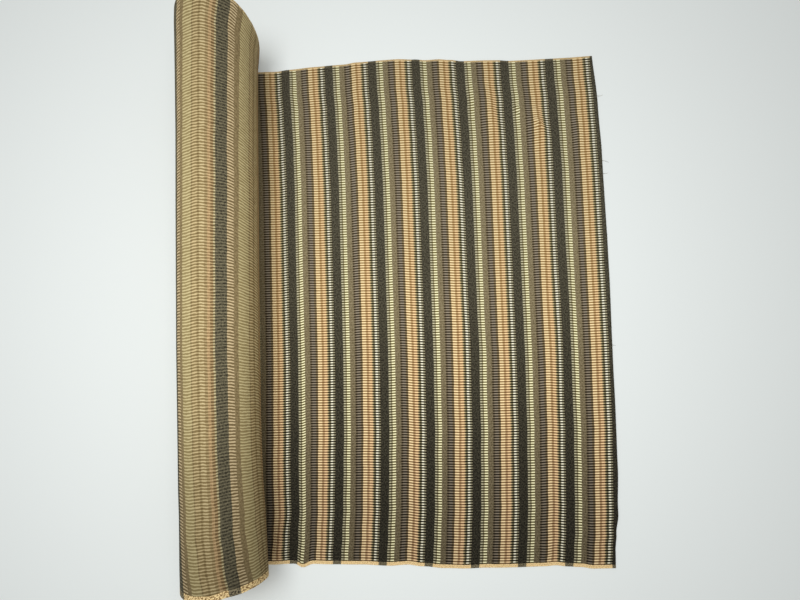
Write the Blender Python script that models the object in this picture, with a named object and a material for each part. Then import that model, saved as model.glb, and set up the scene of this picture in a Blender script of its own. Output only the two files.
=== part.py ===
"""A length of ribbed striped cloth, half unrolled: a roll with its loose end lying flat beside it.

The cloth is one piece. Its loose end lies on the surface, runs in under the roll and becomes the roll's
outer turn, so the solid is one loft along Y of a section that holds the roll and the loose end together.
The roll's axis lies along Y, the loose end runs towards +X, and the origin is the middle of the
footprint, on the surface.
"""

import math
from typing import NamedTuple

import bmesh
import bpy

# Driving sizes in metres
CLOTH_THICKNESS = 0.0025
ROLL_RADIUS = 0.1040
ROLL_AXIS_X = -0.4920
ROLL_SETTLE = 0.0015
WEDGE_ANGLE = 0.20

# Resolution of the loft
ROLL_STEPS = 52
SHEET_STEPS = 22
LENGTH_STEPS = 24


class EdgePoint(NamedTuple):
    """A point of an edge of the loose end: where it is, and how far out the edge lies there."""

    at: float
    out: float


class RollStation(NamedTuple):
    """The roll's radius and sideways shift at one place along its axis."""

    y: float
    radius: float
    shift_x: float


class Fold(NamedTuple):
    """A long low ridge in the loose end: its middle, half lengths, direction and height."""

    x: float
    y: float
    half_length: float
    half_width: float
    turn_deg: float
    height: float


class EndRing(NamedTuple):
    """A ring of the roll's end face: its share of the radius, and how far it is drawn in."""

    share: float
    drawn_in: float


# The two woven edges of the loose end: at is x and out is y
FAR_EDGE = (
    EdgePoint(at=-0.492, out=0.7440),
    EdgePoint(at=-0.400, out=0.7415),
    EdgePoint(at=-0.320, out=0.7420),
    EdgePoint(at=-0.240, out=0.7490),
    EdgePoint(at=-0.160, out=0.7555),
    EdgePoint(at=0.000, out=0.7585),
    EdgePoint(at=0.120, out=0.7530),
    EdgePoint(at=0.220, out=0.7430),
    EdgePoint(at=0.340, out=0.7355),
    EdgePoint(at=0.600, out=0.7335),
)
NEAR_EDGE = (
    EdgePoint(at=-0.492, out=-0.7330),
    EdgePoint(at=-0.400, out=-0.7315),
    EdgePoint(at=-0.230, out=-0.7315),
    EdgePoint(at=-0.030, out=-0.7365),
    EdgePoint(at=0.080, out=-0.7455),
    EdgePoint(at=0.280, out=-0.7505),
    EdgePoint(at=0.390, out=-0.7490),
    EdgePoint(at=0.600, out=-0.7585),
)

# The cut end of the cloth: at is y and out is x
CUT_END = (
    EdgePoint(at=-0.760, out=0.5745),
    EdgePoint(at=-0.690, out=0.5740),
    EdgePoint(at=-0.610, out=0.5830),
    EdgePoint(at=-0.480, out=0.5890),
    EdgePoint(at=-0.270, out=0.5920),
    EdgePoint(at=0.140, out=0.5960),
    EdgePoint(at=0.430, out=0.5940),
    EdgePoint(at=0.580, out=0.5900),
    EdgePoint(at=0.760, out=0.5800),
)

# The roll's two ends where its top is, a little out of line with the loose end
ROLL_FAR_END = 0.7550
ROLL_NEAR_END = -0.7460

ROLL_STATIONS = (
    RollStation(y=-0.760, radius=0.1070, shift_x=0.0030),
    RollStation(y=-0.640, radius=0.1065, shift_x=0.0022),
    RollStation(y=-0.500, radius=0.1040, shift_x=0.0),
    RollStation(y=-0.200, radius=0.1030, shift_x=-0.0005),
    RollStation(y=0.200, radius=0.1035, shift_x=-0.0003),
    RollStation(y=0.560, radius=0.1040, shift_x=0.0),
    RollStation(y=0.760, radius=0.1045, shift_x=0.0),
)

FOLDS = (
    Fold(x=-0.300, y=0.10, half_length=0.62, half_width=0.055, turn_deg=90.0, height=0.0065),
    Fold(x=-0.120, y=-0.28, half_length=0.34, half_width=0.060, turn_deg=84.0, height=0.0045),
    Fold(x=0.060, y=0.42, half_length=0.28, half_width=0.060, turn_deg=98.0, height=0.0050),
    Fold(x=0.250, y=0.60, half_length=0.17, half_width=0.042, turn_deg=112.0, height=0.0110),
    Fold(x=0.410, y=0.52, half_length=0.20, half_width=0.045, turn_deg=118.0, height=0.0120),
    Fold(x=0.210, y=-0.12, half_length=0.26, half_width=0.060, turn_deg=126.0, height=0.0060),
    Fold(x=0.440, y=-0.10, half_length=0.30, half_width=0.050, turn_deg=80.0, height=0.0050),
    Fold(x=0.500, y=-0.64, half_length=0.16, half_width=0.045, turn_deg=20.0, height=0.0080),
    Fold(x=-0.360, y=-0.66, half_length=0.10, half_width=0.040, turn_deg=60.0, height=0.0090),
)

# The end face, from the outer turn in to the eye of the roll
END_RINGS = (
    EndRing(share=0.90, drawn_in=0.0030),
    EndRing(share=0.62, drawn_in=0.0010),
    EndRing(share=0.34, drawn_in=0.0060),
    EndRing(share=0.14, drawn_in=0.0120),
)
EYE_DRAWN_IN = 0.0180

CLOTH_COLOUR = (0.36, 0.27, 0.15, 1.0)
CLOTH_ROUGHNESS = 0.85


def ease(share: float) -> float:
    """Turns a straight 0 to 1 share into one that starts and stops softly."""
    return share * share * (3.0 - 2.0 * share)


def between(low: float, high: float, share: float) -> float:
    """The value that lies at share of the way from low to high."""
    return low + (high - low) * share


def read_edge(edge: tuple, at: float) -> float:
    """How far out an edge lies at a place, eased between the rows of its table."""
    for left, right in zip(edge, edge[1:]):
        if at <= right.at:
            share = max(0.0, (at - left.at) / (right.at - left.at))
            return between(left.out, right.out, ease(share))
    return edge[-1].out


def read_roll(y: float) -> tuple:
    """The roll's radius and the x of its axis at y."""
    for near, far in zip(ROLL_STATIONS, ROLL_STATIONS[1:]):
        if y <= far.y:
            share = ease(max(0.0, (y - near.y) / (far.y - near.y)))
            radius = between(near.radius, far.radius, share)
            shift = between(near.shift_x, far.shift_x, share)
            return radius, ROLL_AXIS_X + shift
    return ROLL_STATIONS[-1].radius, ROLL_AXIS_X + ROLL_STATIONS[-1].shift_x


def fold_height(x: float, y: float) -> float:
    """How high the loose end is lifted off the surface at a point by its folds."""
    height = 0.0
    for fold in FOLDS:
        turn = math.radians(fold.turn_deg)
        along = (x - fold.x) * math.cos(turn) + (y - fold.y) * math.sin(turn)
        across = (y - fold.y) * math.cos(turn) - (x - fold.x) * math.sin(turn)
        reach = (along / fold.half_length) ** 2 + (across / fold.half_width) ** 2
        if reach < 1.0:
            height = max(height, fold.height * (1.0 - reach) ** 2)
    return height


def roll_point(angle: float, width_share: float) -> tuple:
    """A point of the roll's outer turn.

    The angle starts at the bottom and goes round by the left side and the top. The radius shrinks by one
    cloth thickness in a full turn, so the turn comes back to rest on top of the loose end.
    """
    rise = (1.0 - math.cos(angle)) / 2.0
    near = between(read_edge(NEAR_EDGE, ROLL_AXIS_X), ROLL_NEAR_END, rise)
    far = between(read_edge(FAR_EDGE, ROLL_AXIS_X), ROLL_FAR_END, rise)
    y = between(near, far, width_share)
    radius, axis_x = read_roll(y)
    wound_in = radius - CLOTH_THICKNESS * angle / math.tau
    height = radius - ROLL_SETTLE - wound_in * math.cos(angle)
    return axis_x - wound_in * math.sin(angle), y, max(0.0, height)


def sheet_point(step: int, width_share: float, on_top: bool) -> tuple:
    """A point of the loose end, from the wedge beside the roll (step 0) to the cut end."""
    start_x, wedge_y, wedge_z = roll_point(math.tau - WEDGE_ANGLE, width_share)
    y_at_cut = between(NEAR_EDGE[-1].out, FAR_EDGE[-1].out, width_share)
    x = between(start_x, read_edge(CUT_END, y_at_cut), step / SHEET_STEPS)
    if step == 0:
        return (x, wedge_y, wedge_z) if on_top else (x, wedge_y, 0.0)
    y = between(read_edge(NEAR_EDGE, x), read_edge(FAR_EDGE, x), width_share)
    lift = fold_height(x, y)
    return x, y, lift + (CLOTH_THICKNESS if on_top else 0.0)


def section(width_share: float) -> list:
    """One closed section of the cloth: the outer turn, then the loose end's top, then its underside."""
    last_angle = math.tau - WEDGE_ANGLE
    turn = [roll_point(last_angle * step / ROLL_STEPS, width_share) for step in range(ROLL_STEPS + 1)]
    top = [sheet_point(step, width_share, True) for step in range(1, SHEET_STEPS + 1)]
    under = [sheet_point(step, width_share, False) for step in range(SHEET_STEPS, -1, -1)]
    return turn + top + under


def add_end_face(mesh: bmesh.types.BMesh, loop: list, outward: float) -> None:
    """Closes one end: a strip across the loose end, and rings drawn in to the eye of the roll."""
    count = len(loop)
    top_first = ROLL_STEPS
    for step in range(SHEET_STEPS):
        upper = (loop[top_first + step], loop[top_first + step + 1])
        lower = (loop[count - 1 - step], loop[count - 2 - step])
        mesh.faces.new((upper[0], upper[1], lower[1], lower[0]))
    rim = loop[: ROLL_STEPS + 1] + [loop[-1]]
    middle_x = sum(vert.co.x for vert in rim) / len(rim)
    middle_z = sum(vert.co.z for vert in rim) / len(rim)
    face_y = sum(vert.co.y for vert in rim) / len(rim)
    outer = rim
    for ring in END_RINGS:
        inner = []
        for vert in rim:
            x = between(middle_x, vert.co.x, ring.share)
            z = between(middle_z, vert.co.z, ring.share)
            y = between(face_y, vert.co.y, ring.share) - outward * ring.drawn_in
            inner.append(mesh.verts.new((x, y, z)))
        for index, vert in enumerate(outer):
            following = (index + 1) % len(outer)
            mesh.faces.new((vert, outer[following], inner[following], inner[index]))
        outer = inner
    eye = mesh.verts.new((middle_x, face_y - outward * EYE_DRAWN_IN, middle_z))
    for index, vert in enumerate(outer):
        mesh.faces.new((vert, outer[(index + 1) % len(outer)], eye))


def build_cloth_mesh() -> bpy.types.Mesh:
    """Lofts the sections along the roll's axis and closes both ends."""
    mesh = bmesh.new()
    loops = []
    for step in range(LENGTH_STEPS + 1):
        loops.append([mesh.verts.new(point) for point in section(step / LENGTH_STEPS)])
    for near, far in zip(loops, loops[1:]):
        for index in range(len(near)):
            following = (index + 1) % len(near)
            mesh.faces.new((near[index], near[following], far[following], far[index]))
    add_end_face(mesh, loops[0], -1.0)
    add_end_face(mesh, loops[-1], 1.0)
    bmesh.ops.recalc_face_normals(mesh, faces=mesh.faces)
    bmesh.ops.triangulate(mesh, faces=mesh.faces, quad_method="SHORT_EDGE")
    data = bpy.data.meshes.new("cloth")
    mesh.to_mesh(data)
    mesh.free()
    return data


def cloth_material() -> bpy.types.Material:
    """Plain stand-in colour of the striped cloth, seen from a step away."""
    material = bpy.data.materials.new("striped_cloth")
    material.use_nodes = True
    shader = material.node_tree.nodes["Principled BSDF"]
    shader.inputs["Base Color"].default_value = CLOTH_COLOUR
    shader.inputs["Roughness"].default_value = CLOTH_ROUGHNESS
    shader.inputs["Metallic"].default_value = 0.0
    return material


def build() -> None:
    """Clears the scene and makes the one piece of cloth in its own collection."""
    for old in list(bpy.data.objects):
        bpy.data.objects.remove(old, do_unlink=True)
    collection = bpy.data.collections.new("length_of_cloth")
    bpy.context.scene.collection.children.link(collection)
    data = build_cloth_mesh()
    data.materials.append(cloth_material())
    cloth = bpy.data.objects.new("cloth", data)
    collection.objects.link(cloth)
    data.shade_smooth()
    data.set_sharp_from_angle(angle=math.radians(40.0))


build()
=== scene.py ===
"""Striped ribbed cloth, half unrolled: the finished look of the length of fabric.

The cloth is one closed mesh, a spiral ribbon whose last metre or so lies flat. Its face and its back
have woven stripe finishes that read the cloth's own coordinates, so the stripes follow the weave.
"""

import logging
import math
import random
from collections.abc import Callable
from dataclasses import dataclass, field
from enum import Enum

import bmesh
import bpy
from mathutils import Euler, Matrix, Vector, noise


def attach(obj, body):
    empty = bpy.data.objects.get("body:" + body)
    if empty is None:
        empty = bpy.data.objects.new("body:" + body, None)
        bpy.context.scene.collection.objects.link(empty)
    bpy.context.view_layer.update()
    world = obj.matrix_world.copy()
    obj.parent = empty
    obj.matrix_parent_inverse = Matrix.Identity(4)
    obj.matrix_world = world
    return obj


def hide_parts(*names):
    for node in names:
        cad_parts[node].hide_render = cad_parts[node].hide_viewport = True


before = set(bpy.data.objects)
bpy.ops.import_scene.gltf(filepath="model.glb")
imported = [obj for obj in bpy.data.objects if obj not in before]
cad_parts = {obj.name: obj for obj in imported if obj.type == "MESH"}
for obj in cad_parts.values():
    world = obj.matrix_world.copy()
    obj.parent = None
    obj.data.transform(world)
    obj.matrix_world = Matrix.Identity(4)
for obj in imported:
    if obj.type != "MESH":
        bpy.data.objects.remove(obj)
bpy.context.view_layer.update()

LOG = logging.getLogger("striped_cloth")
CLOTH_UV = "cloth_metres"

# Socket numbers of Blender's Mix node when it mixes colours
MIX_FACTOR, MIX_LOW, MIX_HIGH, MIX_RESULT = 0, 6, 7, 2

Colour = tuple[int, int, int]
Place = tuple[float, float, float]
Columns = list[tuple[int, float]]
Socket = bpy.types.NodeSocket


class Side(Enum):
    """The two sides of the cloth."""

    FACE = "face"
    BACK = "back"


@dataclass(frozen=True)
class TableRow:
    """One row of a table of the form: a place, and the value there, such as where an edge lies."""

    at: float
    value: float


@dataclass(frozen=True)
class RollStation:
    """The roll's radius and sideways shift at one place along its axis."""

    y: float
    radius: float
    shift_x: float


@dataclass(frozen=True)
class Ripple:
    """Soft uneven ground of the loose end: its scale along and across, its seed and its height."""

    scale_x: float
    scale_y: float
    seed: float
    height: float

    def lift(self, x: float, y: float) -> float:
        """Height of the ripple at a point, zero in its hollows."""
        wave = noise.noise(Vector((x * self.scale_x, y * self.scale_y, self.seed)))
        return max(0.0, wave) * self.height


@dataclass(frozen=True)
class Fold:
    """A long low ridge in the loose end: its middle, half lengths, direction and height."""

    x: float
    y: float
    half_length: float
    half_width: float
    turn_deg: float
    height: float

    def lift(self, x: float, y: float) -> float:
        """Height of this ridge at a point, zero outside it.

        Args:
            x: Place along the loose end.
            y: Place across the cloth's width.

        Returns:
            The height in metres.
        """
        turn = math.radians(self.turn_deg)
        along = (x - self.x) * math.cos(turn) + (y - self.y) * math.sin(turn)
        across = (y - self.y) * math.cos(turn) - (x - self.x) * math.sin(turn)
        reach = (along / self.half_length) ** 2 + (across / self.half_width) ** 2
        return self.height * (1.0 - reach) ** 2 if reach < 1.0 else 0.0


def ease(share: float) -> float:
    """Turns a straight 0 to 1 share into one that starts and stops softly."""
    return share * share * (3.0 - 2.0 * share)


def between(low: float, high: float, share: float) -> float:
    """The value that lies at share of the way from low to high."""
    return low + (high - low) * share


def read_table(rows: tuple[TableRow, ...], at: float) -> float:
    """The value of a table at a place, eased between its rows.

    Args:
        rows: The rows, in rising order of at.
        at: The place that is asked for.

    Returns:
        The eased value there.
    """
    for left, right in zip(rows, rows[1:]):
        if at <= right.at:
            share = max(0.0, (at - left.at) / (right.at - left.at))
            return between(left.value, right.value, ease(share))
    return rows[-1].value


def table(*pairs: tuple[float, float]) -> tuple[TableRow, ...]:
    """Makes a table from plain pairs of place and value."""
    return tuple(TableRow(at, value) for at, value in pairs)


@dataclass
class ClothForm:
    """The shape of the whole cloth: the wound roll and the loose end that lies flat.

    The roll is a spiral about an axis along Y. Its angle starts at the bottom of the outer turn and
    grows inwards, round by the left side and over the top.

    far_edge and near_edge give y by x, and cut_end gives x by y. roll_near_end and roll_far_end give
    the outer turn's y by degrees round the roll, and end_rings how far the turns inside it lie in, by
    their share of the radius. The drift tables give how far the stripes are off a straight line, by y
    or by radians round the roll.

    settle is how far the roll sinks into its own flat bottom. slip is how unevenly the turns lie in at
    the ends, squash is how far the inner turns are from round, and slack is what the outer turn takes
    up as it leaves the table.
    """

    thickness: float = 0.0025
    width: float = 1.485
    pitch: float = 0.0030
    turns: int = 28
    axis_x: float = -0.4920
    settle: float = 0.0015
    depth_radius: float = 0.1035
    length_radius: float = 0.1036
    roll_slack: float = 0.0092
    slack_angle: float = 1.0
    slip: float = 0.0016
    slip_scale: float = 0.37
    slip_seed: tuple[float, float] = (2.0, 5.0)
    slip_from: float = math.pi * 1.5
    slip_reach: float = 2.0
    squash: float = 0.05
    squash_turn: float = 0.9
    first_stripe_x: float = 0.5963
    ripple_from: float = 0.03
    ripple_reach: float = 0.08
    drift_from_x: float = -0.22
    drift_reach: float = 0.15
    far_edge: tuple[TableRow, ...] = table(
        (-0.492, 0.7440), (-0.400, 0.7415), (-0.364, 0.7400), (-0.330, 0.7440), (-0.240, 0.7480),
        (-0.190, 0.7500), (-0.155, 0.7508), (-0.120, 0.7553), (0.000, 0.7580), (0.054, 0.7540),
        (0.090, 0.7497), (0.125, 0.7503), (0.160, 0.7462), (0.200, 0.7385), (0.264, 0.7372),
        (0.300, 0.7358), (0.340, 0.7322), (0.480, 0.7312), (0.600, 0.7330),
    )
    near_edge: tuple[TableRow, ...] = table(
        (-0.492, -0.7300), (-0.400, -0.7300), (-0.340, -0.7290), (-0.312, -0.7388), (-0.286, -0.7308),
        (-0.230, -0.7330), (-0.150, -0.7350), (-0.060, -0.7403), (-0.015, -0.7380), (0.030, -0.7440),
        (0.090, -0.7500), (0.150, -0.7525), (0.200, -0.7512), (0.264, -0.7522), (0.370, -0.7508),
        (0.403, -0.7487), (0.438, -0.7527), (0.473, -0.7549), (0.508, -0.7602), (0.600, -0.7602),
    )
    cut_end: tuple[TableRow, ...] = table(
        (-0.760, 0.5690), (-0.715, 0.5705), (-0.670, 0.5745), (-0.610, 0.5830), (-0.480, 0.5890),
        (-0.270, 0.5920), (0.140, 0.5960), (0.430, 0.5940), (0.580, 0.5900), (0.760, 0.5800),
    )
    roll_stations: tuple[RollStation, ...] = (
        RollStation(-0.760, 0.1068, 0.0070),
        RollStation(-0.715, 0.1065, 0.0064),
        RollStation(-0.670, 0.1060, 0.0048),
        RollStation(-0.600, 0.1054, 0.0036),
        RollStation(-0.544, 0.1046, 0.0019),
        RollStation(-0.481, 0.1037, -0.0013),
        RollStation(-0.388, 0.1029, -0.0032),
        RollStation(-0.290, 0.1028, -0.0041),
        RollStation(-0.119, 0.1034, -0.0041),
        RollStation(0.037, 0.1036, -0.0033),
        RollStation(0.239, 0.1039, -0.0022),
        RollStation(0.440, 0.1041, -0.0007),
        RollStation(0.609, 0.1050, 0.0001),
        RollStation(0.690, 0.1059, 0.0011),
        RollStation(0.735, 0.1080, 0.0042),
        RollStation(0.786, 0.1083, 0.0058),
    )
    roll_near_end: tuple[TableRow, ...] = table(
        (0, -0.7300), (122, -0.7345), (160, -0.7385), (185, -0.7375), (207, -0.7300),
        (223, -0.7300), (239, -0.7280), (260, -0.7270), (291, -0.7305), (360, -0.7300),
    )
    roll_far_end: tuple[TableRow, ...] = table(
        (0, 0.7440), (60, 0.7480), (90, 0.7600), (135, 0.7690), (180, 0.7700), (225, 0.7660),
        (240, 0.7615), (252, 0.7565), (270, 0.7520), (290, 0.7490), (360, 0.7440),
    )
    folds: tuple[Fold, ...] = (
        Fold(-0.300, 0.10, 0.62, 0.055, 90.0, 0.0065),
        Fold(-0.120, -0.28, 0.34, 0.060, 84.0, 0.0045),
        Fold(0.060, 0.42, 0.28, 0.060, 98.0, 0.0050),
        Fold(0.250, 0.60, 0.17, 0.042, 112.0, 0.0060),
        Fold(0.410, 0.52, 0.20, 0.045, 118.0, 0.0060),
        Fold(0.210, -0.12, 0.26, 0.060, 126.0, 0.0060),
        Fold(0.440, -0.10, 0.30, 0.050, 80.0, 0.0050),
        Fold(0.500, -0.64, 0.16, 0.045, 20.0, 0.0026),
        Fold(-0.360, -0.66, 0.10, 0.040, 60.0, 0.0090),
    )
    creases: tuple[Fold, ...] = (
        Fold(0.274, 0.610, 0.115, 0.022, 102.0, 0.0030),
        Fold(0.362, 0.575, 0.036, 0.012, 130.0, 0.0060),
        Fold(0.414, 0.528, 0.034, 0.012, 130.0, 0.0055),
        Fold(0.416, 0.540, 0.090, 0.020, 102.0, 0.0028),
        Fold(0.530, 0.495, 0.075, 0.020, 90.0, 0.0030),
        Fold(-0.325, 0.630, 0.110, 0.026, 90.0, 0.0060),
        Fold(0.140, -0.217, 0.060, 0.030, 30.0, 0.0030),
        Fold(0.378, -0.706, 0.045, 0.022, 60.0, 0.0040),
        Fold(0.545, -0.672, 0.075, 0.020, 8.0, 0.0022),
        Fold(-0.314, -0.725, 0.030, 0.018, 70.0, 0.0060),
    )
    ripples: tuple[Ripple, ...] = (
        Ripple(6.0, 4.0, 3.1, 0.0022),
        Ripple(26.0, 17.0, 8.4, 0.0007),
    )
    end_rings: tuple[TableRow, ...] = table(
        (0.00, 0.0180), (0.14, 0.0120), (0.34, 0.0060), (0.62, 0.0010), (0.90, 0.0030), (1.00, 0.0)
    )
    stripe_drift: tuple[TableRow, ...] = table(
        (-0.760, -0.0250), (-0.714, -0.0205), (-0.653, -0.0160), (-0.569, -0.0110),
        (-0.457, -0.0070), (-0.344, -0.0030), (-0.114, 0.0), (0.359, 0.0), (0.480, -0.0020),
        (0.602, -0.0050), (0.679, -0.0090), (0.760, -0.0105),
    )
    drift_by_roll: tuple[TableRow, ...] = table(
        (-0.760, 0.0070), (-0.600, 0.0070), (-0.457, 0.0010), (-0.350, 0.0)
    )
    roll_drift: tuple[TableRow, ...] = table(
        (-0.760, -0.0020), (-0.670, -0.0040), (-0.600, -0.0040), (-0.457, -0.0002), (-0.313, 0.0042),
        (-0.167, 0.0062), (-0.019, 0.0070), (0.131, 0.0068), (0.284, 0.0075), (0.439, 0.0057),
        (0.596, 0.0033), (0.725, -0.0022),
    )
    turn_drift: tuple[TableRow, ...] = table(
        (1.60, -0.0140), (2.23, -0.0120), (2.53, -0.0100), (2.88, -0.0040), (3.18, 0.0),
        (3.95, 0.0), (4.20, 0.0060), (4.50, 0.0120), (4.80, 0.0200), (6.30, 0.0100), (9.0, 0.0),
    )

    def roll_at(self, y: float) -> tuple[float, float]:
        """The roll's radius and the x of its axis at y."""
        for near, far in zip(self.roll_stations, self.roll_stations[1:]):
            if y <= far.y:
                share = max(0.0, (y - near.y) / (far.y - near.y))
                shift = between(near.shift_x, far.shift_x, share)
                return between(near.radius, far.radius, share), self.axis_x + shift
        last = self.roll_stations[-1]
        return last.radius, self.axis_x + last.shift_x

    def lift(self, x: float, y: float) -> float:
        """How high the loose end is off the surface at a point.

        Args:
            x: Place along the loose end.
            y: Place across the cloth's width.

        Returns:
            The height of the underside in metres, never below zero.
        """
        height = 0.0
        for fold in self.folds:
            height = max(height, fold.lift(x, y))
        for crease in self.creases:
            height += crease.lift(x, y)
        fade = min(1.0, max(0.0, (x - self.axis_x - self.ripple_from) / self.ripple_reach))
        return height + fade * sum(ripple.lift(x, y) for ripple in self.ripples)

    def drift(self, x: float, y: float) -> float:
        """How far the stripes are off a straight line at a point, along the cloth."""
        by_roll = ease(min(1.0, max(0.0, (self.drift_from_x - x) / self.drift_reach)))
        return read_table(self.stripe_drift, y) + by_roll * read_table(self.drift_by_roll, y)

    def drawn_in(self, angle: float, share: float) -> float:
        """How far a turn's edge lies inside the outer turn's, at each end of the roll.

        Args:
            angle: Radians from the bottom of the outer turn, inwards.
            share: 1 at the outside of the roll and 0 at its middle.

        Returns:
            The distance in metres, which can be a little below zero.
        """
        inside = read_table(self.end_rings, max(0.0, share)) if angle > math.tau else 0.0
        if angle > self.slip_from:
            slip = noise.noise(Vector((angle * self.slip_scale, *self.slip_seed))) * self.slip
            inside += slip * min(1.0, (angle - self.slip_from) / self.slip_reach)
        return inside

    def roll_point(self, angle: float, width_share: float, side: Side) -> Place:
        """A point of the wound part.

        Args:
            angle: Radians from the bottom of the outer turn, inwards.
            width_share: 0 at the near edge and 1 at the far edge.
            side: The cloth's back faces out of the roll, and its face inwards.

        Returns:
            The point in the part's frame.
        """
        degrees = math.degrees(angle) % 360.0
        turn_near = read_table(self.roll_near_end, degrees)
        turn_far = read_table(self.roll_far_end, degrees)
        share = 1.0 - self.pitch * angle / math.tau / self.depth_radius
        inside = self.drawn_in(angle, share)
        y = between(turn_near + inside, turn_far - inside, width_share)
        radius, centre_x = self.roll_at(y)
        wound_in = radius - self.pitch * angle / math.tau
        wound_in *= 1.0 + self.squash * (1.0 - share) * math.cos(2.0 * angle + self.squash_turn)
        if side is Side.FACE:
            wound_in -= self.thickness
        height = radius - self.settle - wound_in * math.cos(angle)
        layers_below = math.floor((angle + math.pi) / math.tau)
        floor = layers_below * self.thickness
        if side is Side.FACE:
            floor += self.thickness
        return centre_x - wound_in * math.sin(angle), y, max(floor, height)

    def sheet_point(self, x_share: float, width_share: float, side: Side) -> Place:
        """A point of the loose end.

        Args:
            x_share: 0 below the roll's axis and 1 at the cut end.
            width_share: 0 at the near edge and 1 at the far edge.
            side: The cloth's face is up, and its back is down.

        Returns:
            The point in the part's frame.
        """
        y_at_cut = between(self.near_edge[-1].value, self.far_edge[-1].value, width_share)
        y_at_roll = between(self.near_edge[0].value, self.far_edge[0].value, width_share)
        x = between(self.roll_at(y_at_roll)[1], read_table(self.cut_end, y_at_cut), x_share)
        y = between(read_table(self.near_edge, x), read_table(self.far_edge, x), width_share)
        height = self.lift(x, y)
        if side is Side.FACE:
            height += self.thickness
        return x, y, height

    def roll_cloth_place(self, angle: float, y: float) -> float:
        """Where along the cloth a point of the roll is.

        Args:
            angle: Radians from the bottom of the outer turn, inwards.
            y: Place across the cloth's width.

        Returns:
            Metres from the first stripe, growing towards the cut end.
        """
        arc = self.length_radius * angle - self.pitch * angle * angle / (2.0 * math.tau)
        taken_up = ease(min(1.0, angle / self.slack_angle))
        drawn = read_table(self.roll_drift, y) + read_table(self.turn_drift, angle)
        slack = self.roll_slack * taken_up + drawn * taken_up
        start_x = self.roll_at(y)[1]
        return start_x - self.first_stripe_x - arc + slack - self.drift(start_x, y)

    def sheet_cloth_place(self, x: float, y: float) -> float:
        """Metres from the first stripe to a point of the loose end, growing towards the cut end."""
        return x - self.first_stripe_x - self.drift(x, y)


@dataclass
class MeshRow:
    """The vertex numbers of one row across the cloth: by column on each side, and at both edges."""

    sides: dict[Side, dict[int, int]]
    near: int = 0
    far: int = 0


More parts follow.
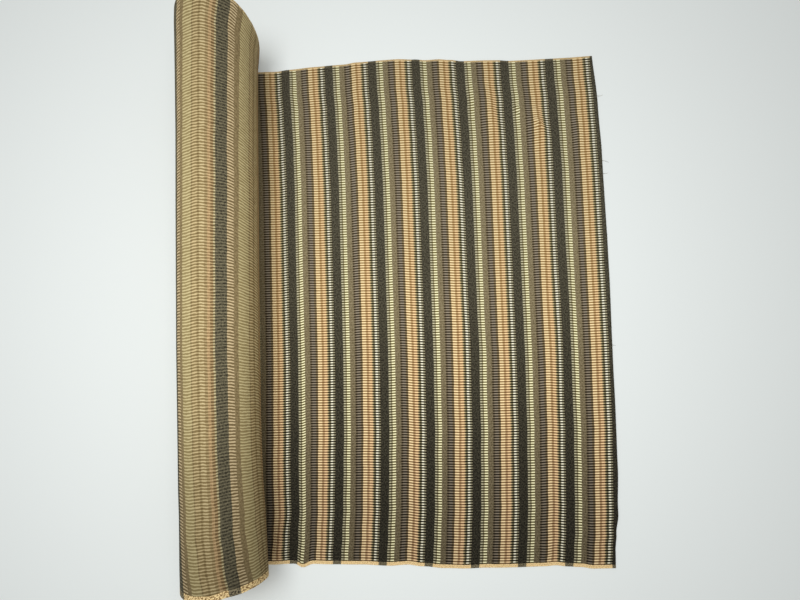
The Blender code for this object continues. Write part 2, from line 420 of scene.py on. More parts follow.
@dataclass
class ClothMesh:
    """Builds the cloth's closed mesh from its form, row by row along its length."""

    form: ClothForm
    inner_steps_per_turn: int = 40
    outer_steps: int = 96
    sheet_steps: int = 132
    width_steps: int = 146
    coarse_every: int = 20
    edge_shares: tuple[float, ...] = (0.0007, 0.0022)
    edge_bulge: float = 0.0007
    eye_bulge: float = 0.0003
    cut_bulge: float = 0.0006
    verts: list[Place] = field(default_factory=list)
    places: list[tuple[float, float]] = field(default_factory=list)
    faces: list[tuple[int, ...]] = field(default_factory=list)
    sides: list[int] = field(default_factory=list)

    def width_shares(self) -> list[float]:
        """The shares of the width at which the fine rows have their points."""
        inner = [step / self.width_steps for step in range(1, self.width_steps)]
        far = [1.0 - share for share in reversed(self.edge_shares)]
        return [0.0, *self.edge_shares, *inner, *far, 1.0]

    def add_row(
        self,
        columns: Columns,
        point: Callable[[float, Side], Place],
        place: Callable[[Place], float],
    ) -> MeshRow:
        """Adds one row across the cloth, on both sides and at both edges.

        Args:
            columns: Pairs of column number and width share.
            point: Function of share and side that gives the point.
            place: Function of the point that gives metres along the cloth.

        Returns:
            The row, with the rounded points of its two edges.
        """
        row = MeshRow({Side.FACE: {}, Side.BACK: {}})
        for side in (Side.FACE, Side.BACK):
            for column, share in columns:
                co = point(share, side)
                row.sides[side][column] = self.add_vert(co, place(co), share)
        numbers = []
        for (column, share), outward in ((columns[0], -self.edge_bulge), (columns[-1], self.edge_bulge)):
            middle = self.middle(row, column)
            middle.y += outward
            numbers.append(self.add_vert(tuple(middle), place(tuple(middle)), share))
        row.near, row.far = numbers
        return row

    def middle(self, row: MeshRow, column: int) -> Vector:
        """The point halfway through the cloth at one column of a row."""
        upper = Vector(self.verts[row.sides[Side.FACE][column]])
        lower = Vector(self.verts[row.sides[Side.BACK][column]])
        return (upper + lower) / 2.0

    def add_vert(self, co: Place, along: float, share: float) -> int:
        """Adds one vertex with its place on the cloth, and returns its number."""
        self.verts.append(co)
        self.places.append((along, share * self.form.width))
        return len(self.verts) - 1

    def add_face(self, corners: tuple[int, ...], side: Side) -> None:
        """Adds one face with the side whose finish it takes."""
        self.faces.append(corners)
        self.sides.append(0 if side is Side.FACE else 1)

    def join_side(self, first: MeshRow, second: MeshRow, side: Side) -> None:
        """Joins one side of two rows, which may have fewer columns on the first.

        Args:
            first: The row with fewer or as many columns.
            second: The row with more or as many columns.
            side: Which side of the cloth.
        """
        coarse = sorted(first.sides[side])
        fine = sorted(second.sides[side])
        for left, right in zip(coarse, coarse[1:]):
            run = [column for column in fine if left <= column <= right]
            a, b = first.sides[side][left], first.sides[side][right]
            ids = [second.sides[side][column] for column in run]
            if len(ids) == 2:
                self.add_face((a, b, ids[1], ids[0]), side)
                continue
            half = len(ids) // 2
            for low, high in zip(ids[:half], ids[1 : half + 1]):
                self.add_face((a, high, low), side)
            self.add_face((a, b, ids[half]), side)
            for low, high in zip(ids[half:], ids[half + 1 :]):
                self.add_face((b, high, low), side)

    def join(self, first: MeshRow, second: MeshRow) -> None:
        """Joins two rows on both sides and along both edges."""
        self.join_side(first, second, Side.FACE)
        self.join_side(first, second, Side.BACK)
        for pick, start, end in ((min, first.near, second.near), (max, first.far, second.far)):
            for side in (Side.FACE, Side.BACK):
                a = first.sides[side][pick(first.sides[side])]
                b = second.sides[side][pick(second.sides[side])]
                self.add_face((start, end, b, a), side)

    def close_end(self, row: MeshRow, outward: float) -> None:
        """Closes the cloth at a cut end with a rounded strip.

        Args:
            row: The last row.
            outward: How far the strip's middle stands out along X, in metres.
        """
        columns = sorted(row.sides[Side.FACE])
        middles = []
        for column in columns:
            middle = self.middle(row, column)
            middle.x += outward
            self.verts.append(tuple(middle))
            self.places.append(self.places[row.sides[Side.FACE][column]])
            middles.append(len(self.verts) - 1)
        for side in (Side.FACE, Side.BACK):
            ids = [row.sides[side][column] for column in columns]
            for index in range(len(ids) - 1):
                self.add_face((ids[index], ids[index + 1], middles[index + 1], middles[index]), side)
            self.add_face((row.near, ids[0], middles[0]), side)
            self.add_face((row.far, ids[-1], middles[-1]), side)

    def build(self) -> bpy.types.Mesh:
        """Builds the rows from the eye of the roll to the cut end and returns the mesh."""
        form = self.form
        shares = self.width_shares()
        fine = list(enumerate(shares))
        last = len(fine) - 1
        coarse = [pair for pair in fine if pair[0] % self.coarse_every == 0 or pair[0] == last]
        rows = []

        def roll_row(angle: float, columns: Columns) -> MeshRow:
            """Adds the row at one angle of the roll."""
            return self.add_row(
                columns,
                lambda share, side: form.roll_point(angle, share, side),
                lambda co: form.roll_cloth_place(angle, co[1]),
            )

        inner_count = self.inner_steps_per_turn * (form.turns - 1)
        for step in range(inner_count):
            angle = math.tau * (form.turns - step / self.inner_steps_per_turn)
            rows.append(roll_row(angle, coarse))
        for step in range(self.outer_steps):
            rows.append(roll_row(math.tau * (1.0 - step / self.outer_steps), fine))
        rows.append(roll_row(0.0, fine))
        for step in range(1, self.sheet_steps + 1):
            x_share = step / self.sheet_steps
            rows.append(
                self.add_row(
                    fine,
                    lambda share, side: form.sheet_point(x_share, share, side),
                    lambda co: form.sheet_cloth_place(co[0], co[1]),
                )
            )
        for first, second in zip(rows, rows[1:]):
            self.join(first, second)
        self.close_end(rows[0], self.eye_bulge)
        self.close_end(rows[-1], self.cut_bulge)
        return self.to_mesh()

    def to_mesh(self) -> bpy.types.Mesh:
        """Turns the gathered rows into mesh data with the cloth's coordinates on it."""
        data = bpy.data.meshes.new("striped_cloth")
        data.from_pydata(self.verts, [], self.faces)
        data.polygons.foreach_set("material_index", self.sides)
        layer = data.uv_layers.new(name=CLOTH_UV)
        loop_verts = [0] * len(data.loops)
        data.loops.foreach_get("vertex_index", loop_verts)
        flat = []
        for vert in loop_verts:
            flat.extend(self.places[vert])
        layer.data.foreach_set("uv", flat)
        mesh = bmesh.new()
        mesh.from_mesh(data)
        bmesh.ops.recalc_face_normals(mesh, faces=mesh.faces)
        mesh.to_mesh(data)
        mesh.free()
        data.shade_smooth()
        return data


@dataclass(frozen=True)
class Band:
    """One colour band of the stripe repeat, as the cloth shows it from a step away.

    width is in metres along the cloth. crest and gap are display colours, 0 to 255. crest is the yarn on top
    of a rib. gap is the yarn between ribs, darker partly in its own colour and partly by painted shade in
    the hollows there; in twill it is the mottle's dark. rib is how much the ribs stand out in it, and twill
    how much fine slanting weave it shows.
    """

    width: float
    crest: Colour
    gap: Colour
    rib: float = 1.0
    twill: float = 0.0


# Each gap colour holds painted shade of the hollows between ribs as well as the yarn's own colour.
FACE_BANDS = (
    Band(0.0237, (90, 86, 70), (46, 42, 32), 0.15, 0.85),
    Band(0.0062, (206, 200, 168), (90, 84, 54)),
    Band(0.0035, (160, 150, 112), (82, 72, 40)),
    Band(0.0101, (255, 249, 206), (120, 110, 60)),
    Band(0.0151, (148, 136, 107), (104, 92, 64), 0.35, 0.7),
    Band(0.0053, (136, 122, 98), (54, 44, 24)),
    Band(0.0105, (162, 150, 130), (62, 53, 38)),
    Band(0.0062, (146, 128, 94), (64, 52, 28)),
    Band(0.0119, (255, 232, 181), (156, 124, 74)),
    Band(0.0066, (206, 174, 122), (128, 94, 48)),
    Band(0.0092, (253, 221, 168), (152, 116, 70)),
    Band(0.0034, (216, 194, 144), (70, 58, 28)),
    Band(0.0062, (142, 134, 98), (34, 30, 10)),
    Band(0.0068, (255, 250, 224), (56, 52, 30)),
    Band(0.0054, (176, 170, 140), (52, 46, 28)),
    Band(0.0017, (120, 110, 84), (40, 32, 16)),
)

# As on the face, each gap colour holds painted shade of the hollows between ribs.
BACK_BANDS = (
    Band(0.0267, (126, 118, 91), (46, 42, 30), 0.75, 0.45),
    Band(0.0043, (204, 190, 144), (112, 98, 62)),
    Band(0.0068, (181, 154, 106), (111, 86, 50), 0.85),
    Band(0.0068, (206, 175, 125), (140, 110, 67), 0.85, 0.3),
    Band(0.0070, (182, 160, 112), (128, 106, 64), 0.8),
    Band(0.0121, (210, 190, 140), (142, 120, 74)),
    Band(0.0051, (178, 158, 109), (120, 98, 57)),
    Band(0.0108, (206, 184, 133), (136, 115, 70)),
    Band(0.0029, (184, 164, 116), (116, 96, 58)),
    Band(0.0236, (206, 190, 138), (150, 132, 84), 0.75),
    Band(0.0098, (153, 133, 92), (114, 97, 61), 0.35, 0.75),
    Band(0.0159, (216, 193, 147), (122, 102, 64)),
)


def to_linear(colour: Colour) -> tuple[float, float, float, float]:
    """Turns a 0 to 255 display colour into linear light for a shader.

    Args:
        colour: Red, green and blue as displayed.

    Returns:
        Red, green, blue and an alpha of one.
    """
    parts = []
    for value in colour:
        share = value / 255.0
        low = share / 12.92
        parts.append(low if share <= 0.04045 else ((share + 0.055) / 1.055) ** 2.4)
    return (parts[0], parts[1], parts[2], 1.0)


class ShaderTree:
    """Adds nodes to one material and joins them."""

    def __init__(self, material: bpy.types.Material) -> None:
        """Takes over the material's tree."""
        material.use_nodes = True
        self.nodes = material.node_tree.nodes
        self.links = material.node_tree.links
        self.shader = self.nodes["Principled BSDF"]

    def put(self, socket: Socket, value: object) -> None:
        """Joins a socket to an input, or sets the input to a plain value."""
        if isinstance(value, bpy.types.NodeSocket):
            self.links.new(value, socket)
        else:
            socket.default_value = value

    def maths(self, operation: str, *values: object) -> Socket:
        """One Math node.

        Args:
            operation: Blender's name of the operation.
            values: Sockets or numbers for its inputs.

        Returns:
            The node's result.
        """
        node = self.nodes.new("ShaderNodeMath")
        node.operation = operation
        for socket, value in zip(node.inputs, values):
            self.put(socket, value)
        return node.outputs[0]

    def scaled(self, value: object, gain: object, start: object = 0.0) -> Socket:
        """A value times a gain, with a start added."""
        return self.maths("MULTIPLY_ADD", value, gain, start)

    def times(self, first: object, second: object) -> Socket:
        """Two values multiplied."""
        return self.maths("MULTIPLY", first, second)

    def step(self, value: object, ends: tuple[float, float]) -> Socket:
        """A soft step that rises from 0 to 1 between its two ends."""
        node = self.nodes.new("ShaderNodeMapRange")
        node.interpolation_type = "SMOOTHSTEP"
        self.put(node.inputs["Value"], value)
        node.inputs["From Min"].default_value = ends[0]
        node.inputs["From Max"].default_value = ends[1]
        return node.outputs["Result"]

    def join(self, x: object, y: object, z: object = 0.0) -> Socket:
        """A vector from three values."""
        node = self.nodes.new("ShaderNodeCombineXYZ")
        for socket, value in zip(node.inputs, (x, y, z)):
            self.put(socket, value)
        return node.outputs[0]

    def noise(self, vector: object, scale: float, detail: float = 2.0) -> Socket:
        """Smooth noise from 0 to 1, about one half."""
        node = self.nodes.new("ShaderNodeTexNoise")
        self.put(node.inputs["Vector"], vector)
        node.inputs["Scale"].default_value = scale
        node.inputs["Detail"].default_value = detail
        return node.outputs["Fac"]

    def woven_noise(self, x: object, y: object, scales: tuple[float, float], detail: float = 2.0) -> Socket:
        """Noise over two values, each with its own scale.

        Args:
            x: The first value.
            y: The second value.
            scales: How fast the noise changes with each of them.
            detail: How many finer layers it has.

        Returns:
            The noise from 0 to 1.
        """
        place = self.join(self.times(x, scales[0]), self.times(y, scales[1]))
        return self.noise(place, 1.0, detail)

    def ramp(self, factor: object, stops: list) -> Socket:
        """A colour ramp.

        Args:
            factor: What it reads.
            stops: Pairs of place and colour, in rising order, at most 32.

        Returns:
            The ramp's colour.
        """
        node = self.nodes.new("ShaderNodeValToRGB")
        elements = node.color_ramp.elements
        for index, (place, colour) in enumerate(stops):
            element = elements[index] if index < 2 else elements.new(place)
            element.position = place
            element.color = colour
        self.put(node.inputs["Fac"], factor)
        return node.outputs["Color"]

    def grey_ramp(self, factor: object, rows: tuple[tuple[float, float], ...], gain: float = 1.0) -> Socket:
        """A ramp of greys.

        Args:
            factor: What it reads.
            rows: Pairs of place and value, in rising order.
            gain: What every value is multiplied by.

        Returns:
            The grey, as a colour that a number socket also takes.
        """
        return self.ramp(factor, [(at, (grey * gain, grey * gain, grey * gain, 1.0)) for at, grey in rows])

    def blend(self, factor: object, low: object, high: object, kind: str = "MIX") -> Socket:
        """A colour between two others."""
        node = self.nodes.new("ShaderNodeMix")
        node.data_type = "RGBA"
        node.blend_type = kind
        self.put(node.inputs[MIX_FACTOR], factor)
        self.put(node.inputs[MIX_LOW], low)
        self.put(node.inputs[MIX_HIGH], high)
        return node.outputs[MIX_RESULT]


@dataclass(frozen=True)
class Weave:
    """The sockets that say where a point is in the weave, shared by the steps of one finish.

    along and across are metres on the cloth, and width_share is 0 to 1 across it. phase is the place
    in the stripe repeat, from 0 to 1. ridge is 1 on top of a rib and 0 between two. rib_share and
    twill_share are the rib and twill of the band there. yarn is the fine noise of single yarns, and
    twill_lit is the light side of the twill's slanting lines.
    """

    along: Socket
    across: Socket
    width_share: Socket
    rib_number: Socket
    phase: Socket
    ridge: Socket
    rib_share: Socket
    twill_share: Socket
    yarn: Socket
    twill_lit: Socket


@dataclass(frozen=True)
class StripedFinish:
    """The woven finish of one side of the cloth.

    Lengths are in metres, and scales are in waves of noise per metre or per rib. Names with ends are
    where a soft step starts and stops, and names with tone are a gain and a start.

    shade and the gamma table are painted shade, not wear or dye of the real cloth. They carry how light and
    deep in colour it looks across its width in the photograph, so they stay in any other light. Their rows
    are pairs of width share and value. The gamma table is a gamma, and the saturation pair with it is a gain
    on half of it and a start. An empty gamma table and a shade of one throughout give the cloth without
    them.
    """

    name: str
    bands: tuple[Band, ...]
    cloth_width: float
    rib_pitch: float = 0.00755
    rib_ends: tuple[float, float] = (0.33, 0.87)
    rib_height: float = 0.0011
    rib_wave: float = 0.0
    rib_waves_per_repeat: float = 2.0
    wander: float = 0.0011
    wander_scales: tuple[float, float] = (9.0, 60.0)
    jag: float = 0.0020
    jag_scales: tuple[float, float] = (40.0, 7.3)
    broken: float = 0.30
    dash_scales: tuple[float, float] = (55.0, 3.7)
    mottle_scales: tuple[float, float] = (270.0, 210.0)
    mottle_ends: tuple[float, float] = (0.34, 0.66)
    yarn_height: float = 0.00012
    yarn_scales: tuple[float, float] = (1300.0, 260.0)
    yarn_detail: float = 1.0
    yarn_tone: tuple[float, float] = (0.50, 0.74)
    twill_lines: float = 310.0
    twill_gain: float = 0.22
    cloud_scales: tuple[float, float] = (3.0, 5.0)
    cloud_detail: float = 3.0
    cloud_tone: tuple[float, float] = (0.14, 0.93)
    edge_blend: float = 0.0008
    near_edge_band: float = 0.0095
    far_edge_band: float = 0.0048
    far_edge_share: float = 0.62
    ragged: float = 0.003
    ragged_scale: float = 160.0
    speckle_scale: float = 420.0
    speckle_ends: tuple[float, float] = (0.38, 0.58)
    pale_edge: tuple[Colour, Colour] = ((190, 158, 108), (240, 212, 158))
    dark_edge: tuple[Colour, Colour] = ((42, 38, 30), (128, 118, 92))
    # Painted shade as a gamma across the width, with the saturation pair below it.
    painted_shade_gamma: tuple[tuple[float, float], ...] = ()
    painted_shade_saturation: tuple[float, float] = (-0.82, 1.41)
    saturation: float = 0.94
    # Painted shade across the width: by default darker towards the near edge and a little towards the far
    # one.
    shade: tuple[tuple[float, float], ...] = (
        (0.0, 0.58), (0.086, 0.645), (0.163, 0.74), (0.24, 0.86), (0.32, 0.934), (0.395, 0.972),
        (0.47, 1.0), (0.55, 1.0), (0.75, 0.98), (0.90, 0.91), (1.0, 0.87),
    )
    shade_gain: float = 0.964
    bump: float = 0.7
    roughness: float = 0.88
    gloss: float = 0.12

    @property
    def repeat(self) -> float:
        """The length of one whole stripe repeat in metres."""
        return sum(band.width for band in self.bands)

    def stops(self, pick: Callable[[Band], tuple[float, ...]]) -> list:
        """Ramp stops for one value of every band, with a short blend where bands meet.

        Args:
            pick: Function that gives a band's colour.

        Returns:
            Pairs of place and colour.
        """
        stops = []
        start = 0.0
        half = self.edge_blend / 2.0
        for index, band in enumerate(self.bands):
            end = start + band.width
            left = 0.0 if index == 0 else (start + half) / self.repeat
            right = 1.0 if index == len(self.bands) - 1 else (end - half) / self.repeat
            stops.append((left, pick(band)))
            stops.append((right, pick(band)))
            start = end
        return stops

    def build(self) -> bpy.types.Material:
        """Makes the material."""
        material = bpy.data.materials.new(self.name)
        tree = ShaderTree(material)
        weave = self.lay_out(tree)
        toned = tree.blend(1.0, self.yarn_colour(tree, weave), self.tone(tree, weave), "MULTIPLY")
        tree.put(tree.shader.inputs["Base Color"], self.dress_edges(tree, weave, toned))
        tree.put(tree.shader.inputs["Normal"], self.relief(tree, weave))
        tree.shader.inputs["Roughness"].default_value = self.roughness
        tree.shader.inputs["Specular IOR Level"].default_value = self.gloss
        return material

    def lay_out(self, tree: ShaderTree) -> Weave:
        """Works out where a point is in the ribs, the stripes and the yarn.

        Args:
            tree: The material's tree.

        Returns:
            The sockets that the later steps share.
        """
        coordinates = tree.nodes.new("ShaderNodeUVMap")
        coordinates.uv_map = CLOTH_UV
        split = tree.nodes.new("ShaderNodeSeparateXYZ")
        tree.links.new(coordinates.outputs[0], split.inputs[0])
        along, across = split.outputs[0], split.outputs[1]

        across_woven = tree.scaled(tree.woven_noise(along, across, self.wander_scales), self.wander, across)
        if self.rib_wave:
            turn = tree.times(along, math.tau / self.repeat * self.rib_waves_per_repeat)
            across_woven = tree.scaled(tree.maths("SINE", turn), self.rib_wave, across_woven)
        rib_place = tree.maths("DIVIDE", across_woven, self.rib_pitch)
        rib_number = tree.maths("FLOOR", rib_place)
        ridge = tree.scaled(tree.maths("COSINE", tree.times(rib_place, math.tau)), 0.5, 0.5)

        first_edge = (self.bands[0].width - self.jag) / 2.0
        jagged = tree.scaled(tree.woven_noise(along, rib_number, self.jag_scales), self.jag, along)
        repeats = tree.maths("DIVIDE", tree.maths("ADD", jagged, first_edge), self.repeat)
        phase = tree.maths("FRACT", repeats)

        shares = tree.ramp(phase, self.stops(lambda band: (band.rib, band.twill, 0.0, 1.0)))
        shares_split = tree.nodes.new("ShaderNodeSeparateColor")
        tree.links.new(shares, shares_split.inputs[0])
        rib_share, twill_share = shares_split.outputs[0], shares_split.outputs[1]
        slant = tree.maths("SINE", tree.times(tree.maths("ADD", along, across), math.tau * self.twill_lines))
        return Weave(
            along=along,
            across=across,
            width_share=tree.maths("DIVIDE", across, self.cloth_width),
            rib_number=rib_number,
            phase=phase,
            ridge=ridge,
            rib_share=rib_share,
            twill_share=twill_share,
            yarn=tree.woven_noise(along, across, self.yarn_scales, self.yarn_detail),
            twill_lit=tree.times(tree.scaled(slant, 0.5, 0.5), twill_share),
        )

    def crest_share(self, tree: ShaderTree, weave: Weave) -> Socket:
        """How much of the crest colour shows: by ribs, so that the gaps' painted shade lies between them, or
        mottled where the band is twill.

        Args:
            tree: The material's tree.
            weave: Where the point is.

        Returns:
            The share, with 0 for the gap colour.
        """
        dashes = tree.woven_noise(weave.along, weave.rib_number, self.dash_scales)
        lowered = tree.maths("SUBTRACT", weave.ridge, self.broken / 2.0)
        ribbed = tree.step(tree.scaled(dashes, self.broken, lowered), self.rib_ends)
        mottle = tree.step(tree.woven_noise(weave.along, weave.across, self.mottle_scales), self.mottle_ends)
        to_mottle = tree.times(tree.maths("SUBTRACT", mottle, ribbed), weave.twill_share)
        return tree.maths("ADD", ribbed, to_mottle)

    def yarn_colour(self, tree: ShaderTree, weave: Weave) -> Socket:
        """The bands' colours, before they are toned.

        Args:
            tree: The material's tree.
            weave: Where the point is.

        Returns:
            The colour.
        """
        crest = tree.ramp(weave.phase, self.stops(lambda band: to_linear(band.crest)))
        # The gap colours carry painted shade between the ribs.
        gap = tree.ramp(weave.phase, self.stops(lambda band: to_linear(band.gap)))
        colour = tree.blend(self.crest_share(tree, weave), gap, crest)
        saturation = self.saturation
        # Painted shade: a gamma and a saturation that change across the width.
        if self.painted_shade_gamma:
            half_gamma = tree.grey_ramp(weave.width_share, self.painted_shade_gamma, 0.5)
            gamma = tree.nodes.new("ShaderNodeGamma")
            tree.put(gamma.inputs["Color"], colour)
            tree.put(gamma.inputs["Gamma"], tree.times(half_gamma, 2.0))
            colour = gamma.outputs[0]
            saturation = tree.scaled(half_gamma, *self.painted_shade_saturation)
        softened = tree.nodes.new("ShaderNodeHueSaturation")
        tree.put(softened.inputs["Saturation"], saturation)
        tree.put(softened.inputs["Color"], colour)
        return softened.outputs[0]

    def tone(self, tree: ShaderTree, weave: Weave) -> Socket:
        """The grey that the colour is multiplied by: yarns, twill lines, cloudiness and painted shade across
        the width.

        Args:
            tree: The material's tree.
            weave: Where the point is.

        Returns:
            The grey as a colour.
        """
        tone = tree.scaled(weave.yarn, *self.yarn_tone)
        tone = tree.scaled(weave.twill_lit, self.twill_gain, tone)
        cloud = tree.woven_noise(weave.along, weave.across, self.cloud_scales, self.cloud_detail)
        tone = tree.times(tone, tree.scaled(cloud, *self.cloud_tone))
        # Painted shade across the width.
        shade = tree.grey_ramp(weave.width_share, self.shade)
        tone = tree.times(tone, tree.times(shade, self.shade_gain))
        return tree.join(tone, tone, tone)

    def dress_edges(self, tree: ShaderTree, weave: Weave, colour: Socket) -> Socket:
        """Lays the speckled woven edge bands over the stripes.

        Args:
            tree: The material's tree.
            weave: Where the point is.
            colour: The stripes' colour.

        Returns:
            The colour with its edge bands.
        """
        ragged = tree.noise(tree.join(tree.times(weave.along, self.ragged_scale), 0.0), 1.0)
        near_line = tree.scaled(ragged, self.ragged, self.near_edge_band - self.ragged / 2.0)
        far_line = tree.scaled(ragged, self.ragged, self.far_edge_band - self.ragged / 2.0)
        near = tree.maths("LESS_THAN", weave.across, near_line)
        far = tree.maths("GREATER_THAN", weave.across, tree.maths("SUBTRACT", self.cloth_width, far_line))
        edge_share = tree.maths("MAXIMUM", near, tree.times(far, self.far_edge_share))
        speckle = tree.woven_noise(weave.along, weave.across, (self.speckle_scale, self.speckle_scale))
        spots = tree.step(speckle, self.speckle_ends)
        pale = tree.blend(spots, to_linear(self.pale_edge[0]), to_linear(self.pale_edge[1]))
        dark = tree.blend(spots, to_linear(self.dark_edge[0]), to_linear(self.dark_edge[1]))
        in_dark = tree.maths("LESS_THAN", weave.phase, self.bands[0].width / self.repeat)
        return tree.blend(edge_share, colour, tree.blend(in_dark, pale, dark))

    def relief(self, tree: ShaderTree, weave: Weave) -> Socket:
        """The bump of the ribs, the yarns and the twill.

        Args:
            tree: The material's tree.
            weave: Where the point is.

        Returns:
            The bumped normal.
        """
        height = tree.times(tree.times(weave.ridge, weave.rib_share), self.rib_height)
        height = tree.scaled(weave.yarn, self.yarn_height, height)
        height = tree.scaled(weave.twill_lit, self.yarn_height, height)
        bump = tree.nodes.new("ShaderNodeBump")
        bump.inputs["Strength"].default_value = self.bump
        bump.inputs["Distance"].default_value = 1.0
        tree.put(bump.inputs["Height"], height)
        return bump.outputs[0]


@dataclass
class LooseThreads:
    """Short yarn ends that stand out of the cut end, and a few longer pulled threads.

    The short ends have random places, lengths and curls between the low and high values. A row of
    long_threads is its y, its length and its curl in radians.
    """

    form: ClothForm
    count: int = 130
    seed: int = 11
    places_y: tuple[float, float] = (-0.735, 0.715)
    lengths: tuple[float, float] = (0.0015, 0.0045)
    curls: tuple[float, float] = (-0.6, 0.6)
    headings: tuple[float, float] = (-0.5, 0.5)
    depths: tuple[float, float] = (0.25, 0.75)
    long_threads: tuple[tuple[float, float, float], ...] = (
        (0.612, 0.020, 0.9),
        (0.414, 0.022, -0.5),
        (0.375, 0.018, 0.6),
        (-0.130, 0.012, 0.4),
    )
    root: float = 0.0012
    step_length: float = 0.0015
    fall: float = 1.6
    radius: float = 0.00028
    rest_radii: float = 1.3
    taper: float = 0.4
    sides: int = 5

    def path(self, y: float, length: float, bend: float, rng: random.Random) -> list[Vector]:
        """The points of one thread, from inside the cut end out over the surface.

        Args:
            y: Where it leaves the cut end.
            length: How far it reaches in metres.
            bend: How much it curls, in radians.
            rng: The seeded source of small differences.

        Returns:
            Its points in order.
        """
        start_x = read_table(self.form.cut_end, y) - self.root
        lift = self.form.lift(start_x, y) + self.form.thickness * rng.uniform(*self.depths)
        heading = rng.uniform(*self.headings)
        here = Vector((start_x, y, lift))
        result = [here.copy()]
        steps = max(3, round(length / self.step_length))
        for step in range(1, steps + 1):
            heading += bend / steps
            here.x += math.cos(heading) * length / steps
            here.y += math.sin(heading) * length / steps
            here.z = between(lift, self.radius * self.rest_radii, min(1.0, step / steps * self.fall))
            result.append(here.copy())
        return result

    def tube(self, mesh: bmesh.types.BMesh, path: list[Vector]) -> None:
        """Adds a thin round tube along a path."""
        rings = []
        for index, point in enumerate(path):
            ahead = path[min(index + 1, len(path) - 1)] - path[max(index - 1, 0)]
            side = ahead.normalized().cross(Vector((0.0, 0.0, 1.0))).normalized()
            up = side.cross(ahead.normalized())
            radius = self.radius * (1.0 - self.taper * index / len(path))
            ring = []
            for corner in range(self.sides):
                angle = math.tau * corner / self.sides
                rim = point + side * math.cos(angle) * radius + up * math.sin(angle) * radius
                ring.append(mesh.verts.new(rim))
            rings.append(ring)
        for first, second in zip(rings, rings[1:]):
            for corner in range(self.sides):
                after = (corner + 1) % self.sides
                mesh.faces.new((first[corner], first[after], second[after], second[corner]))
        mesh.faces.new(list(reversed(rings[0])))
        mesh.faces.new(rings[-1])

    def build(self) -> bpy.types.Mesh:
        """Builds every thread as one mesh."""
        rng = random.Random(self.seed)
        mesh = bmesh.new()
        for _ in range(self.count):
            y = rng.uniform(*self.places_y)
            length = rng.uniform(*self.lengths)
            bend = rng.uniform(*self.curls)
            self.tube(mesh, self.path(y, length, bend, rng))
        for y, length, bend in self.long_threads:
            self.tube(mesh, self.path(y, length, bend, rng))
        bmesh.ops.recalc_face_normals(mesh, faces=mesh.faces)
        data = bpy.data.meshes.new("loose_threads")
        mesh.to_mesh(data)
        mesh.free()
        data.shade_smooth()
        return data


@dataclass(frozen=True)
class ThreadFinish:
    """Dark and tan yarn of the loose threads."""

    name: str = "pulled_yarn"
    dark: Colour = (62, 56, 44)
    tan: Colour = (150, 134, 98)
    patch_scale: float = 90.0
    patch_ends: tuple[float, float] = (0.42, 0.60)
    roughness: float = 0.9

    def build(self) -> bpy.types.Material:
        """Makes the material."""
        material = bpy.data.materials.new(self.name)
        tree = ShaderTree(material)
        place = tree.nodes.new("ShaderNodeTexCoord").outputs["Object"]
        share = tree.step(tree.noise(place, self.patch_scale), self.patch_ends)
        colour = tree.blend(share, to_linear(self.dark), to_linear(self.tan))
        tree.put(tree.shader.inputs["Base Color"], colour)
        tree.shader.inputs["Roughness"].default_value = self.roughness
        return material


@dataclass
class StripedCloth:
    """The whole length of cloth: its mesh, its two finishes and its threads."""

    form: ClothForm = field(default_factory=ClothForm)
    cloth_length: float = 11.9

    def build(self) -> list[bpy.types.Object]:
        """Makes the pieces, ties them to the part and returns them."""
        cloth = self.place("woven_cloth", ClothMesh(self.form).build())
        cloth.data.materials.append(self.face_finish().build())
        cloth.data.materials.append(self.back_finish().build())
        threads = self.place("loose_threads", LooseThreads(self.form).build())
        threads.data.materials.append(ThreadFinish().build())
        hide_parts("cloth")
        return [cloth, threads]

    def face_finish(self) -> StripedFinish:
        """The face, with crisp ribs and clear stripes, and painted shade: the photograph's deeper near part,
        and darker edges.
        """
        return StripedFinish(
            "striped_face",
            FACE_BANDS,
            self.form.width,
            # Painted shade, darker towards both edges.
            shade=(
                (0.0, 0.751), (0.086, 0.805), (0.163, 0.886), (0.24, 0.956), (0.32, 0.993),
                (0.395, 1.0), (0.47, 0.991), (0.55, 0.959), (0.66, 0.905), (0.75, 0.882),
                (0.90, 0.818), (1.0, 0.782),
            ),
            shade_gain=1.06,
            # Painted shade as a gamma: deeper, darker colour over the near two thirds.
            painted_shade_gamma=((0.0, 1.38), (0.15, 1.34), (0.30, 1.22), (0.50, 1.08), (0.68, 1.0)),
        )

    def back_finish(self) -> StripedFinish:
        """The back, with lower, wavy, broken ribs and a broad speckled near edge."""
        return StripedFinish(
            "striped_back",
            BACK_BANDS,
            self.form.width,
            rib_height=0.0008,
            rib_wave=0.0016,
            wander=0.0048,
            wander_scales=(70.0, 60.0),
            jag=0.0034,
            broken=1.05,
            dash_scales=(105.0, 3.7),
            near_edge_band=0.016,
            speckle_scale=270.0,
            pale_edge=((118, 88, 50), (230, 204, 150)),
        )

    def place(self, name: str, data: bpy.types.Mesh) -> bpy.types.Object:
        """Puts mesh data in the scene as a piece that rides on the part."""
        piece = bpy.data.objects.new(name, data)
        bpy.context.scene.collection.objects.link(piece)
        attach(piece, "root")
        return piece


@dataclass(frozen=True)
class SoftLamp:
    """A soft square lamp that points at the cloth's middle: its place, width and watts."""

    name: str
    place: Place
    size: float
    watts: float

    def build(self) -> None:
        """Makes the lamp."""
        data = bpy.data.lights.new(self.name, "AREA")
        data.shape = "SQUARE"
        data.size = self.size
        data.energy = self.watts
        lamp = bpy.data.objects.new(self.name, data)
        lamp.location = self.place
        lamp.rotation_euler = (-Vector(self.place)).to_track_quat("-Z", "Y").to_euler()
        bpy.context.scene.collection.objects.link(lamp)


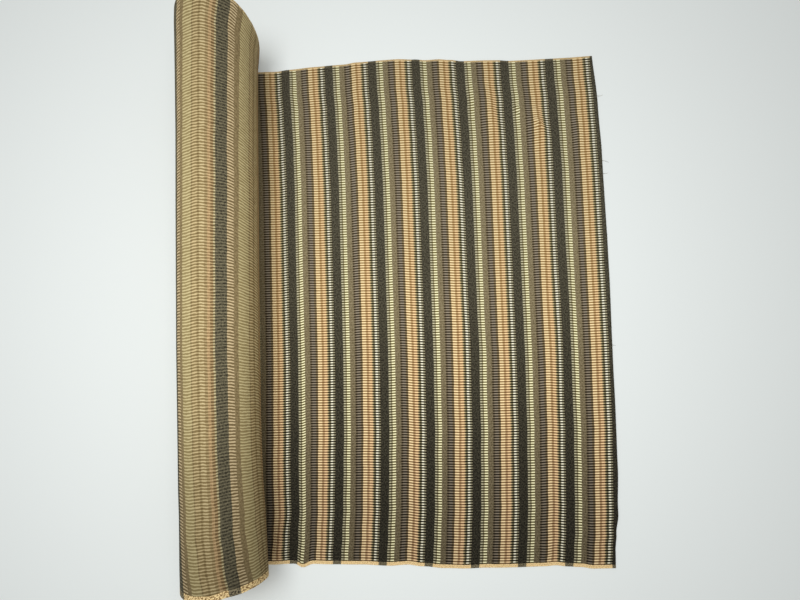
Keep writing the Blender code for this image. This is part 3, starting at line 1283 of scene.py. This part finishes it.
@dataclass
class Studio:
    """The plain pale floor, the soft light and the camera."""

    floor_size: float = 9.0
    floor_gap: float = 0.0004
    floor_colour: Colour = (230, 235, 233)
    floor_roughness: float = 0.6
    floor_gloss: float = 0.2
    lamps: tuple[SoftLamp, ...] = (
        SoftLamp("window_light", (-0.70, 0.10, 2.20), 1.2, 27.0),
        SoftLamp("ceiling_light", (0.25, 0.05, 1.60), 0.8, 7.15),
    )
    sky_colour: tuple[float, float, float, float] = (1.0, 1.0, 1.0, 1.0)
    sky_strength: float = 0.462
    camera_place: Place = (0.010, -0.3145, 1.0885)
    camera_turn_deg: tuple[float, float, float] = (2.3364, 1.6983, -1.8277)
    sensor_width: float = 36.0
    lens: float = 16.875
    shift_y: float = 0.125
    clip_start: float = 0.01

    def build(self) -> None:
        """Makes the stage, lamps and camera."""
        self.floor()
        for lamp in self.lamps:
            lamp.build()
        self.sky()
        self.camera()
        view = bpy.context.scene.view_settings
        view.view_transform = "Standard"
        view.look = "None"

    def floor(self) -> None:
        """Makes the floor, just under the cloth."""
        mesh = bmesh.new()
        bmesh.ops.create_grid(mesh, x_segments=2, y_segments=2, size=self.floor_size / 2.0)
        data = bpy.data.meshes.new("floor")
        mesh.to_mesh(data)
        mesh.free()
        floor = bpy.data.objects.new("floor", data)
        floor.location = (0.0, 0.0, -self.floor_gap)
        bpy.context.scene.collection.objects.link(floor)
        material = bpy.data.materials.new("pale_floor")
        tree = ShaderTree(material)
        tree.shader.inputs["Base Color"].default_value = to_linear(self.floor_colour)
        tree.shader.inputs["Roughness"].default_value = self.floor_roughness
        tree.shader.inputs["Specular IOR Level"].default_value = self.floor_gloss
        data.materials.append(material)

    def sky(self) -> None:
        """Sets the even light from all round."""
        world = bpy.data.worlds.new("soft_room")
        world.use_nodes = True
        background = world.node_tree.nodes["Background"]
        background.inputs["Color"].default_value = self.sky_colour
        background.inputs["Strength"].default_value = self.sky_strength
        bpy.context.scene.world = world

    def camera(self) -> None:
        """Makes the camera at the photograph's place and angle."""
        data = bpy.data.cameras.new("camera")
        data.sensor_fit = "HORIZONTAL"
        data.sensor_width = self.sensor_width
        data.lens = self.lens
        data.shift_y = self.shift_y
        data.clip_start = self.clip_start
        camera = bpy.data.objects.new("camera", data)
        camera.location = self.camera_place
        camera.rotation_euler = Euler([math.radians(turn) for turn in self.camera_turn_deg], "XYZ")
        bpy.context.scene.collection.objects.link(camera)
        bpy.context.scene.camera = camera


def main() -> None:
    """Builds the cloth and the studio, and reports each piece."""
    logging.basicConfig(level=logging.INFO, format="%(name)s: %(message)s")
    Studio().build()
    for piece in StripedCloth().build():
        data = piece.data
        LOG.info("%s: %d vertices, %d faces", piece.name, len(data.vertices), len(data.polygons))


if __name__ == "__main__":
    main()
